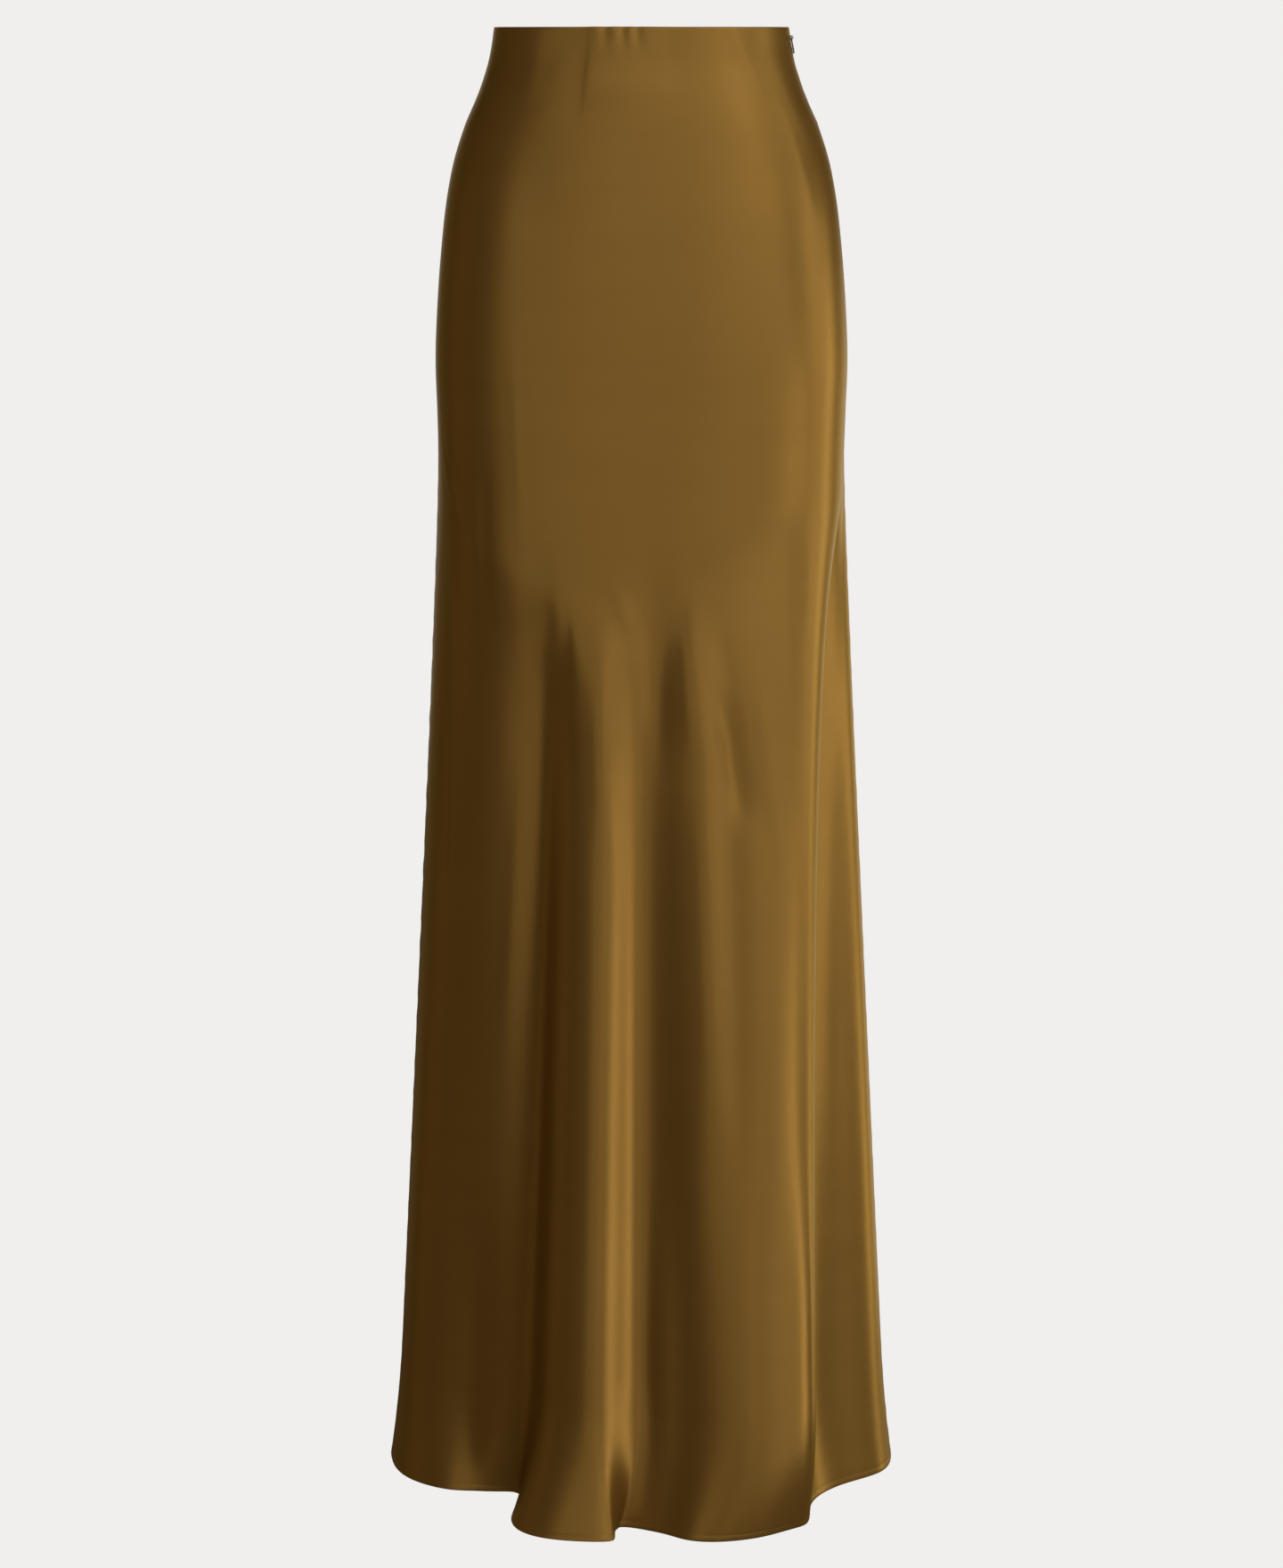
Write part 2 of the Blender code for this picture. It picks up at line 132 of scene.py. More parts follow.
# Small soft creases in the cloth, each between two places: fold line and drop where it starts,
# fold line and drop where it ends, height (a trough is below zero) and half width
CREASES = (
    # the front, from the right seam to the left one
    (1.30, 0.312, 2.42, 0.388, 0.0014, 0.0026),
    (1.75, 0.340, 1.67, 0.760, 0.0010, 0.0028),
    (2.45, 0.880, 2.50, 1.200, -0.0016, 0.0140),
    (2.50, 0.300, 2.60, 0.470, -0.0007, 0.0060),
    (2.85, 0.000, 2.95, 0.060, 0.0005, 0.0080),
    (2.95, 1.000, 2.95, 1.300, 0.0032, 0.0180),
    (3.12, 0.200, 3.44, 0.410, 0.0003, 0.0045),
    (3.20, 0.380, 3.50, 0.540, 0.0005, 0.0090),
    (3.45, 0.490, 3.00, 0.800, 0.0010, 0.0080),
    (4.25, 0.375, 4.50, 0.465, -0.0011, 0.0090),
    (7.55, 0.430, 8.20, 0.640, 0.0012, 0.0080),
    (7.61, -0.010, 7.55, 0.016, -0.0009, 0.0035),
    (8.30, 0.400, 9.61, 0.456, 0.0006, 0.0060),
    (8.60, -0.045, 8.30, 0.085, 0.0018, 0.0300),
    (8.72, -0.010, 8.68, 0.018, -0.0010, 0.0035),
    (9.50, 0.426, 10.35, 0.550, 0.0009, 0.0060),
    (9.63, -0.010, 9.70, 0.016, -0.0009, 0.0035),
    (9.80, 1.000, 9.85, 1.260, 0.0038, 0.0120),
    (10.35, 0.375, 10.90, 0.560, -0.0020, 0.0130),
    (11.08, 0.820, 11.12, 1.300, 0.0022, 0.0140),
    (11.80, 0.410, 12.35, 0.560, 0.0015, 0.0100),
    (12.45, 0.450, 12.60, 0.880, 0.0018, 0.0110),
    (12.90, 0.425, 13.60, 0.550, -0.0008, 0.0085),
    (12.95, 0.478, 13.75, 0.600, -0.0034, 0.0085),
    (13.10, 0.430, 13.15, 0.940, -0.0034, 0.0130),
    (14.05, 0.450, 14.60, 0.640, 0.0010, 0.0050),
    (14.35, 0.480, 13.05, 1.240, 0.0036, 0.0260),
    (14.86, 0.230, 14.95, 0.390, -0.0007, 0.0035),
    (14.93, -0.010, 15.31, 0.070, 0.0010, 0.0070),
    (14.97, 0.365, 15.00, 0.460, -0.0007, 0.0035),
    (15.10, 0.800, 15.15, 1.220, 0.0034, 0.0120),
    (15.31, 0.035, 15.21, 0.160, 0.0008, 0.0060),
    (17.75, 0.460, 17.85, 0.960, -0.0017, 0.0150),
    # the back, from the left seam to the right one
    (22.30, 0.280, 22.00, 0.440, -0.0010, 0.0055),
    (23.40, 0.260, 23.80, 0.400, 0.0010, 0.0055),
    (24.60, 0.370, 24.20, 0.570, -0.0018, 0.0080),
    (25.00, 0.000, 24.90, 0.070, 0.0005, 0.0070),
    (26.10, 0.350, 26.50, 0.540, 0.0016, 0.0080),
    (27.40, 0.290, 26.90, 0.440, -0.0012, 0.0070),
    (28.00, -0.010, 28.05, 0.018, -0.0009, 0.0040),
    (29.20, 0.410, 29.60, 0.620, 0.0018, 0.0090),
    (29.60, 0.000, 29.70, 0.065, 0.0005, 0.0070),
    (30.60, 0.270, 30.20, 0.410, 0.0012, 0.0055),
)
CREASE_ENDS = 0.40  # share of a crease over which each of its ends fades
SEAM_PUCKERS = ((0.0190, 0.00024, 0.4), (0.0285, 0.00020, 2.1))  # height of one, push, start of its turn
PUCKER_SWAY = (3, 5)  # how far, and how often down the seam, the puckers' heights vary
PUCKER_REACH = 0.008  # how far they reach from the seam
SEAM_DIP = (0.0009, 0.0012)  # depth and half width of the groove where two panels are sewn
BESIDE_SEAM = (0.0008, 0.0018, 0.0032, 0.0055, 0.0090)  # the columns next to a seam, across the cloth

# columns of a panel up to each fold line, closer together where the finest creases are
FRONT_COLUMNS = ((0.9, 14), (3.6, 64), (20, 158))
BACK_COLUMNS = ((32, 170),)
ROWS = 184  # between the waist's edge and the turned hem
WAIST_ROWS = (0, 0.0003, 0.0008, 0.0018)  # drops of the rows at the waist's edge
STITCH_ROWS = (0.0016, 0.0007, 0, -0.0006, -0.0016)  # rows beside the hem's stitches, above them and below
HEM_ROWS = (0.0020, 0.0008, 0.0003, 0)  # heights of the last rows above the hem's edge
HEM_TURN = 0.005  # depth of the narrow turned hem
HEM_PROUD = 0.00008  # how far the turned hem stands out of the single cloth
HEM_STEP = 0.0012  # height over which the cloth steps out to the turned hem
HEM_STITCH_DIP = (0.00010, 0.0010)  # how far its stitches pull it in, and over what half width
# how far an open edge is turned in, at a distance from the edge
EDGE_ROLL = ((0.0, 0.00050), (0.0003, 0.00020), (0.0008, 0.00004), (0.0012, 0.0))
STITCH_PITCH = 0.0026  # from one stitch to the next
STITCH_LENGTH = 0.0019
THREAD = 0.00026  # its thickness
FRONT_CUT = (0.74, 1.15, 0.60)  # width, length and area of the flat panel
BACK_CUT = (0.70, 1.15, 0.58)


# ---------------------------------------------------------------- the skirt's form


def closed_curve(knots, values, at, around):
    """The smooth closed curve through values at knots, read at other places: a cubic spline."""
    gaps = np.diff(np.append(knots, around))
    values = np.asarray(values, float)
    slopes = (np.roll(values, -1) - values) / gaps
    count = len(knots)
    system = np.zeros((count, count))
    for i in range(count):
        system[i, i - 1] += gaps[i - 1]
        system[i, i] += 2 * (gaps[i - 1] + gaps[i])
        system[i, (i + 1) % count] += gaps[i]
    bends = np.linalg.solve(system, 6 * (slopes - np.roll(slopes, 1)))
    at = np.mod(at, around)
    i = np.clip(np.searchsorted(knots, at, side="right") - 1, 0, count - 1)
    j = (i + 1) % count
    along = at - knots[i]
    start = slopes[i] - gaps[i] * (2 * bends[i] + bends[j]) / 6
    cubic = along**3 * (bends[j] - bends[i]) / (6 * gaps[i])
    return values[i] + along * start + along**2 * bends[i] / 2 + cubic


def body_sizes(drop):
    """Half width, front depth and back depth where the cloth lies on the body, eased between the levels."""
    levels = np.array(BODY_LEVELS)
    drops = levels[:, 0]
    i = np.clip(np.searchsorted(drops, drop, side="right") - 1, 0, len(drops) - 2)
    height = drops[i + 1] - drops[i]
    t = np.clip((drop - drops[i]) / height, 0, 1)
    sizes = []
    for column in levels[:, 1:].T:
        lean = np.gradient(column, drops)
        ends = (2 * t**3 - 3 * t**2 + 1) * column[i] + (3 * t**2 - 2 * t**3) * column[i + 1]
        leans = (t**3 - 2 * t**2 + t) * lean[i] + (t**3 - t**2) * lean[i + 1]
        sizes.append(ends + leans * height)
    return sizes


def oval(bearing, half_width, front, back):
    """Across and forward on an oval, at a bearing that starts at -X and turns by the front."""
    depth = np.where(np.sin(bearing) > 0, front, back)
    wide = np.abs(np.cos(bearing) / half_width) ** OVAL_POWER
    deep = np.abs(np.sin(bearing) / depth) ** OVAL_POWER
    reach = (wide + deep) ** (-1 / OVAL_POWER)
    return -reach * np.cos(bearing), reach * np.sin(bearing)


def line_places():
    """The way round the hem to each fold line, and the whole way round."""
    hem = np.array([line[4:6] for line in FOLD_LINES])
    steps = np.linalg.norm(np.roll(hem, -1, axis=0) - hem, axis=1)
    return np.append(0, np.cumsum(steps)[:-1]), steps.sum()


def skirt_points(places, drop):
    """Points of the cloth's outer face at places along the hem's way round and drops below the waist."""
    knots, around = line_places()
    _, degrees, starts, growths, across, forward, sweep_x, sweep_forward = zip(*FOLD_LINES)
    turns = 360 * knots / around
    bearing = closed_curve(knots, degrees - turns, places, around) + 360 * places / around
    bearing = np.radians(bearing)
    start = closed_curve(knots, starts, places, around)
    growth = closed_curve(knots, growths, places, around)
    held = start - START_EASE * np.logaddexp(0, (start - drop) / START_EASE)
    from_zip = (bearing - math.pi) / LEAN_SPREAD
    lean = ZIP_LEAN * np.clip(1 - drop / ZIP_LENGTH, 0, 1) ** 2 * np.exp(-(from_zip**2))
    body_x, body_forward = oval(bearing - lean, *body_sizes(held))
    open_x, open_forward = oval(bearing, *HEM_OVAL)
    fall = np.clip((drop - start) / (LENGTH - start), 0, 1)
    eased = fall**2 / (fall + FLARE_EASE) * (1 + FLARE_EASE)
    opened = fall**2 * ((fall**2 + FOLD_EASE**2) / (1 + FOLD_EASE**2)) ** (growth / 2 - 1)
    x = body_x + (open_x - body_x) * eased
    x = x + (closed_curve(knots, across, places, around) - open_x) * opened
    y = body_forward + (open_forward - body_forward) * eased
    y = y + (closed_curve(knots, forward, places, around) - open_forward) * opened
    swept = np.clip(1 - (LENGTH - drop) / SWEEP_REACH, 0, 1) ** 2
    x = x + closed_curve(knots, sweep_x, places, around) * swept
    y = y + closed_curve(knots, sweep_forward, places, around) * swept
    return np.stack(np.broadcast_arrays(x, -y, -drop), axis=-1)


def unit(vectors):
    """Each vector at length one."""
    return vectors / np.linalg.norm(vectors, axis=-1, keepdims=True)


def skirt_frames(places, drop):
    """Points of the outer face, with the outward and onward (round the skirt) directions there."""
    small = 1e-4
    points = skirt_points(places, drop)
    onward = unit(skirt_points(places + small, drop) - skirt_points(places - small, drop))
    downward = skirt_points(places, drop + small) - skirt_points(places, np.maximum(drop - small, 0))
    return points, unit(np.cross(downward, onward)), onward


# ---------------------------------------------------------------- the panels


def cloth_rows():
    """Drops of the cloth's rows, close together at the waist's edge and at the turned hem."""
    body = np.linspace(0.004, LENGTH - HEM_TURN - 0.003, ROWS)
    hem = LENGTH - np.array([*(HEM_TURN + above for above in STITCH_ROWS), *HEM_ROWS])
    return np.concatenate([WAIST_ROWS, body, hem])


def hem_place(line):
    """The way round the hem to a fold line, or to a share of the way between two."""
    knots, around = line_places()
    lines = np.append(knots, around)
    return np.interp(line, np.arange(len(lines)), lines)


def panel_places(start, columns):
    """Places of the columns of one panel, close together beside its two seams."""
    places = [start]
    for line, count in columns:
        places.extend(np.linspace(places[-1], hem_place(line), count + 1)[1:])
    places, end = np.array(places), places[-1]
    beside = np.array(BESIDE_SEAM)
    within = places[(places > start + 1.2 * beside[-1]) & (places < end - 1.2 * beside[-1])]
    return np.concatenate([[start], start + beside, within, end - beside[::-1], [end]])[None, :]


def crease_push(places, drops):
    """How far the small creases push the cloth out at each place and drop."""
    push = np.zeros(np.broadcast(places, drops).shape)
    for first_line, first_drop, last_line, last_drop, height, half_width in CREASES:
        first, last = hem_place(first_line), hem_place(last_line)
        middle = np.array((first + last) / 2)
        halfway = np.array((first_drop + last_drop) / 2)
        reach = 0.002
        step = skirt_points(middle + reach, halfway) - skirt_points(middle - reach, halfway)
        pace = np.linalg.norm(step) / (2 * reach)
        run = np.array([(last - first) * pace, last_drop - first_drop])
        length = np.linalg.norm(run)
        run = run / length
        over, down = (places - first) * pace, drops - first_drop
        along = (over * run[0] + down * run[1]) / length
        aside = over * run[1] - down * run[0]
        ends = np.clip(np.minimum(along, 1 - along) / CREASE_ENDS, 0, 1)
        push += height * ends**2 * (3 - 2 * ends) * np.exp(-((aside / half_width) ** 2))
    return push


def seam_push(beside, drops):
    """How far the cloth beside a seam dips into it and puckers, at a distance across the cloth."""
    depth, half_width = SEAM_DIP
    push = -depth * np.exp(-((beside / half_width) ** 2))
    sway, often = PUCKER_SWAY
    for height, out, turn in SEAM_PUCKERS:
        wave = np.cos(2 * math.pi * drops / height + turn + sway * np.sin(often * drops))
        push = push + out * wave * np.exp(-beside / PUCKER_REACH)
    return push


def edge_push(drops):
    """How far the turned hem stands out and dips at its stitches, and how both open edges roll in."""
    above = LENGTH - drops
    turned = np.clip((HEM_TURN + HEM_STEP / 2 - above) / HEM_STEP, 0, 1)
    depth, half_width = HEM_STITCH_DIP
    push = HEM_PROUD * turned - depth * np.exp(-(((above - HEM_TURN) / half_width) ** 2))
    reach, turned_in = zip(*EDGE_ROLL)
    return push - np.interp(np.minimum(above, drops), reach, turned_in)


def panel_grid(start, columns):
    """Places round and drops down one panel, and the points of its outer face."""
    places = panel_places(start, columns)
    drops = cloth_rows()[:, None]
    points, outward, onward = skirt_frames(places, drops)
    steps = np.linalg.norm(np.diff(points, axis=1), axis=-1)
    walked = np.concatenate([np.zeros((len(drops), 1)), np.cumsum(steps, axis=1)], axis=1)
    push = crease_push(places, drops) + edge_push(drops)
    push = push + seam_push(walked, drops) + seam_push(walked[:, -1:] - walked, drops)
    points = points + outward * push[:, :, None]
    points[:, 0] += onward[:, 0] * SCENE_GAP / 2
    points[:, -1] -= onward[:, -1] * SCENE_GAP / 2
    return places, drops, points


def sheet_object(name, points, across, down):
    """An open sheet through a grid of points, facing outwards, with its own map of the flat cloth."""
    rows, columns = points.shape[:2]
    index = np.arange(rows * columns).reshape(rows, columns)
    corners = (index[:-1, :-1], index[1:, :-1], index[1:, 1:], index[:-1, 1:])
    faces = np.stack(corners, axis=-1).reshape(-1, 4)
    mesh = bpy.data.meshes.new(name)
    mesh.from_pydata(points.reshape(-1, 3).tolist(), [], faces.tolist())
    flat = np.stack(np.broadcast_arrays(across, down), axis=-1).reshape(-1, 2)
    layer = mesh.uv_layers.new(name="cloth")
    layer.data.foreach_set("uv", flat[faces.reshape(-1)].astype(np.float32).reshape(-1))
    mesh.polygons.foreach_set("use_smooth", [True] * len(mesh.polygons))
    made = bpy.data.objects.new(name, mesh)
    bpy.context.scene.collection.objects.link(made)
    return made


def add_panel(name, grid, surface, inside):
    """One satin panel as a thin closed shell on its solid's form, twice as thick at its turned hem."""
    places, drops, points = grid
    panel = sheet_object(name, points, places, -drops)
    panel.data.materials.append(surface)
    panel.data.materials.append(inside)
    doubled = panel.vertex_groups.new(name="doubled")
    turned = np.broadcast_to(drops > LENGTH - HEM_TURN, points.shape[:2]).reshape(-1)
    doubled.add(np.flatnonzero(turned).tolist(), 1.0, "REPLACE")
    wall = panel.modifiers.new("Cloth", "SOLIDIFY")
    wall.thickness = 2 * SATIN
    wall.vertex_group = "doubled"
    wall.thickness_vertex_group = 0.5
    wall.offset = -1
    wall.material_offset = 1
    wall.use_even_offset = False
    return with_modifiers_applied(panel)


def stitch_line(grids):
    """A closed line of points round the skirt, along the hem's stitches, on the panels' outer faces."""
    rings = []
    for _, drops, points in grids:
        row = int(np.argmin(np.abs(drops[:, 0] - (LENGTH - HEM_TURN))))
        rings.append(points[row])
    ring = np.concatenate(rings)
    count = len(ring)
    mesh = bpy.data.meshes.new("hem_stitches")
    mesh.from_pydata(ring.tolist(), [(i, (i + 1) % count) for i in range(count)], [])
    made = bpy.data.objects.new("hem_stitches", mesh)
    bpy.context.scene.collection.objects.link(made)
    return made


def add_hem_stitches(grids, surface):
    """Short machine stitches that hold the turned hem, one after another along their line."""
    sizes = {"Pitch": STITCH_PITCH, "Length": STITCH_LENGTH, "Thread": THREAD}
    stitches = Repeat("hem_stitching", sizes)
    line = stitches.node("GeometryNodeMeshToCurve", {}, {"Mesh": stitches.given.outputs["Geometry"]})
    spots = stitches.node(
        "GeometryNodeCurveToPoints",
        {"mode": "LENGTH"},
        {"Curve": line.outputs[0], "Length": stitches.size("Pitch")},
    )
    ball = stitches.node("GeometryNodeMeshUVSphere", {}, {"Segments": 6, "Rings": 5, "Radius": 0.5})
    thread = stitches.size("Thread")
    slim = stitches.node("ShaderNodeCombineXYZ", {}, {"X": thread, "Y": thread, "Z": stitches.size("Length")})
    stitch = stitches.node(
        "GeometryNodeTransform", {}, {"Geometry": ball.outputs["Mesh"], "Scale": slim.outputs[0]}
    )
    stitches.end(spots.outputs["Points"], stitch.outputs[0], spots.outputs["Rotation"], surface)
    return stitches.along(stitch_line(grids))


# ---------------------------------------------------------------- the zip's coil


def coil_points():
    """The middles of the coil's turns down the inside of the tapes, with the way across and down at each."""
    drops = np.arange(COIL_TOP, ZIP_LENGTH, COIL_PITCH)
    place = hem_place(LEFT_SEAM)
    points, outward, onward = skirt_frames(np.full(drops.shape, place), drops)
    downward = unit(np.gradient(points, axis=0))
    return points - outward * COIL_DEPTH, onward, downward


def add_coil(surface):
    """The closed zip's coil: flat loops of nylon across both tapes."""
    points, across, down = coil_points()
    mesh = bpy.data.meshes.new("zip_coil_loops")
    mesh.from_pydata(points.tolist(), [], [])
    for name, values in (("across", across), ("down", down)):
        layer = mesh.attributes.new(name, "FLOAT_VECTOR", "POINT")
        layer.data.foreach_set("vector", values.astype(np.float32).reshape(-1))
    path = bpy.data.objects.new("zip_coil_loops", mesh)
    bpy.context.scene.collection.objects.link(path)
    loops = Repeat("zip_loops", {"Width": COIL_SIZE[0], "Depth": COIL_SIZE[1], "Wire": COIL_WIRE})
    ways = [
        loops.node(
            "GeometryNodeInputNamedAttribute", {"data_type": "FLOAT_VECTOR"}, {"Name": name}
        ).outputs[0]
        for name in ("down", "across")
    ]
    along = loops.node("FunctionNodeAlignRotationToVector", {"axis": "Z"}, {"Vector": ways[0]})
    turned = loops.node(
        "FunctionNodeAlignRotationToVector",
        {"axis": "X", "pivot_axis": "Z"},
        {"Rotation": along.outputs[0], "Vector": ways[1]},
    )
    ring = loops.node("GeometryNodeCurvePrimitiveCircle", {}, {"Resolution": 12, "Radius": 0.5})
    flat = loops.node(
        "ShaderNodeCombineXYZ",
        {},
        {"X": loops.size("Width"), "Y": loops.size("Depth"), "Z": 1.0},
    )
    oval_ring = loops.node(
        "GeometryNodeTransform", {}, {"Geometry": ring.outputs["Curve"], "Scale": flat.outputs[0]}
    )
    wire = loops.node("GeometryNodeCurvePrimitiveCircle", {}, {"Resolution": 5, "Radius": loops.size("Wire")})
    loop = loops.node(
        "GeometryNodeCurveToMesh",
        {},
        {"Curve": oval_ring.outputs[0], "Profile Curve": wire.outputs["Curve"]},
    )
    loops.end(loops.given.outputs["Geometry"], loop.outputs[0], turned.outputs[0], surface)
    return loops.along(path)


def with_modifiers_applied(made):
    """The same object with its modifiers turned into plain mesh."""
    graph = bpy.context.evaluated_depsgraph_get()
    mesh = bpy.data.meshes.new_from_object(made.evaluated_get(graph))
    made.modifiers.clear()
    made.data = mesh
    return made


# ---------------------------------------------------------------- materials


class Number:
    """A number in a material that ordinary maths can be written with."""

    def __init__(self, maker, socket):
        self.maker, self.socket = maker, socket

    def maths(self, operation, first, second=0.0):
        node = self.maker.node("ShaderNodeMath", {"operation": operation}, {0: first, 1: second})
        return Number(self.maker, node.outputs[0])

    def __add__(self, other):
        return self.maths("ADD", self, other)

    __radd__ = __add__

    def __sub__(self, other):
        return self.maths("SUBTRACT", self, other)

    def __rsub__(self, other):
        return self.maths("SUBTRACT", other, self)

    def __mul__(self, other):
        return self.maths("MULTIPLY", self, other)

    __rmul__ = __mul__


class Nodes:
    """A tree of nodes, and the one way its nodes are made."""

    def __init__(self, tree):
        self.tree = tree

    def set(self, node, values):
        for key, value in values.items():
            socket = node.inputs[key]
            if isinstance(value, Number):
                value = value.socket
            if isinstance(value, bpy.types.NodeSocket):
                self.tree.links.new(value, socket)
            else:
                socket.default_value = value

    def node(self, kind, settings=None, values=None):
        made = self.tree.nodes.new(kind)
        for key, value in (settings or {}).items():
            setattr(made, key, value)
        self.set(made, values or {})
        return made


class Repeat(Nodes):
    """A tree that sets one small shape at many points. Its sizes are its named inputs."""

    def __init__(self, name, sizes):
        super().__init__(bpy.data.node_groups.new(name, "GeometryNodeTree"))
        sockets = self.tree.interface
        sockets.new_socket("Geometry", in_out="INPUT", socket_type="NodeSocketGeometry")
        sockets.new_socket("Geometry", in_out="OUTPUT", socket_type="NodeSocketGeometry")
        self.sizes = {}
        for size, value in sizes.items():
            made = sockets.new_socket(size, in_out="INPUT", socket_type="NodeSocketFloat")
            self.sizes[made.identifier] = value
        self.given = self.node("NodeGroupInput")

    def size(self, name):
        return Number(self, self.given.outputs[name])

    def end(self, points, shape, rotation, surface):
        """The last nodes: the shape at each point, made real, with its material."""
        placed = {"Points": points, "Instance": shape, "Rotation": rotation}
        instances = self.node("GeometryNodeInstanceOnPoints", {}, placed)
        real = self.node("GeometryNodeRealizeInstances", {}, {"Geometry": instances.outputs[0]})
        dressed = {"Geometry": real.outputs[0], "Material": surface}
        coloured = self.node("GeometryNodeSetMaterial", {}, dressed)
        self.node("NodeGroupOutput", {}, {"Geometry": coloured.outputs[0]})

    def along(self, path):
        """The path's object, with its mesh turned into the repeated shapes."""
        modifier = path.modifiers.new(self.tree.name, "NODES")
        modifier.node_group = self.tree
        for identifier, value in self.sizes.items():
            modifier[identifier] = value
        return with_modifiers_applied(path)


class Finish(Nodes):
    """One material, on one Principled shader."""

    def __init__(self, name, values):
        self.material = bpy.data.materials.new(name)
        self.material.use_nodes = True
        super().__init__(self.material.node_tree)
        self.shader = self.tree.nodes["Principled BSDF"]
        self.set(self.shader, values)

    def cloth_map(self, turn=0.0, scale=(1, 1, 1)):
        """Places on the flat cloth, turned so that a weave can lie on the bias."""
        flat = self.node("ShaderNodeUVMap", {"uv_map": "cloth"})
        return self.node(
            "ShaderNodeMapping",
            {},
            {"Vector": flat.outputs["UV"], "Rotation": (0, 0, turn), "Scale": scale},
        ).outputs[0]

    def noise(self, where, scale, detail=2.0):
        made = self.node("ShaderNodeTexNoise", {}, {"Vector": where, "Scale": scale, "Detail": detail})
        return Number(self, made.outputs["Fac"])

    def blend(self, share, first, second):
        made = self.node(
            "ShaderNodeMix", {"data_type": "RGBA"}, {"Factor": share, "A": (*first, 1), "B": (*second, 1)}
        )
        return made.outputs["Result"]

    def bump(self, height, distance, strength=1.0):
        made = self.node(
            "ShaderNodeBump", {}, {"Height": height, "Distance": distance, "Strength": strength}
        )
        self.set(self.shader, {"Normal": made.outputs["Normal"]})


SATIN_EDGE = (0.80, 0.67, 0.38, 1)  # tint of the sheen seen along the cloth


def satin_finish(name, metallic, dark, light, roughness):
    """Bias-cut satin: fine threads at 45 degrees, a soft metal-like sheen and faint slubs."""
    satin = Finish(name, {"Metallic": metallic, "Specular IOR Level": 0.1, "Specular Tint": SATIN_EDGE})
    along = satin.cloth_map(math.radians(45), (260, 2600, 1))
    threads = satin.noise(along, 1.0, 3.0)
    slubs = satin.noise(satin.cloth_map(math.radians(45), (6, 60, 1)), 1.0, 2.0)
    clouds = satin.noise(satin.cloth_map(), 9.0, 3.0)
    tone = 0.5 * clouds + 0.3 * slubs + 0.2 * threads
    colour = satin.blend(tone, dark, light)
    satin.set(satin.shader, {"Base Color": colour, "Roughness": roughness + 0.05 * threads + 0.03 * slubs})
    satin.bump(threads + 0.5 * slubs, 0.00004, 0.5)
    return satin.material


def thread_finish(name, colour, roughness, ribs):
    """Twisted thread or woven tape: fine ribs up it, with a slight change of colour between the fibres."""
    thread = Finish(name, {"Roughness": roughness, "Specular IOR Level": 0.3})
    where = thread.node("ShaderNodeTexCoord").outputs["Object"]
    wave = {"Vector": where, "Scale": ribs, "Distortion": 1.5, "Detail": 2.0}
    rib = Number(thread, thread.node("ShaderNodeTexWave", {"bands_direction": "Z"}, wave).outputs["Fac"])
    fibre = thread.noise(where, 2400.0)
    dark = [0.72 * c for c in colour]
    thread.set(thread.shader, {"Base Color": thread.blend(0.6 * rib + 0.4 * fibre, dark, colour)})
    thread.bump(rib + 0.5 * fibre, 0.00005, 0.6)
    return thread.material


def brushed_metal(name, colour, roughness):
    """Brushed zip metal, with fine lines up it and softly worn patches."""
    metal = Finish(name, {"Metallic": 0.9})
    where = metal.node("ShaderNodeTexCoord").outputs["Object"]
    drawn = metal.node("ShaderNodeMapping", {}, {"Vector": where, "Scale": (3000, 3000, 250)}).outputs[0]
    lines = metal.noise(drawn, 1.0, 3.0)
    worn = metal.noise(where, 350.0, 2.0)
    dark = [0.8 * c for c in colour]
    tone = {"Base Color": metal.blend(0.6 * worn + 0.4 * lines, dark, colour)}
    metal.set(metal.shader, {**tone, "Roughness": roughness + 0.15 * lines + 0.08 * worn})
    metal.bump(lines, 0.00002, 0.4)
    return metal.material


# ---------------------------------------------------------------- camera, backdrop and light

CAMERA_BACK = 3.36  # from the waist's middle to the camera
CAMERA_RISE = -0.008
CAMERA_PITCH = math.radians(9.656)
LENS = 100.7
FLOOR_DROP = 1.75
BACKDROP = (0.871, 0.863, 0.847)
SURROUND = 0.092
WHITE = (1.0, 1.0, 1.0)
WARM = (1.0, 0.74, 0.44)

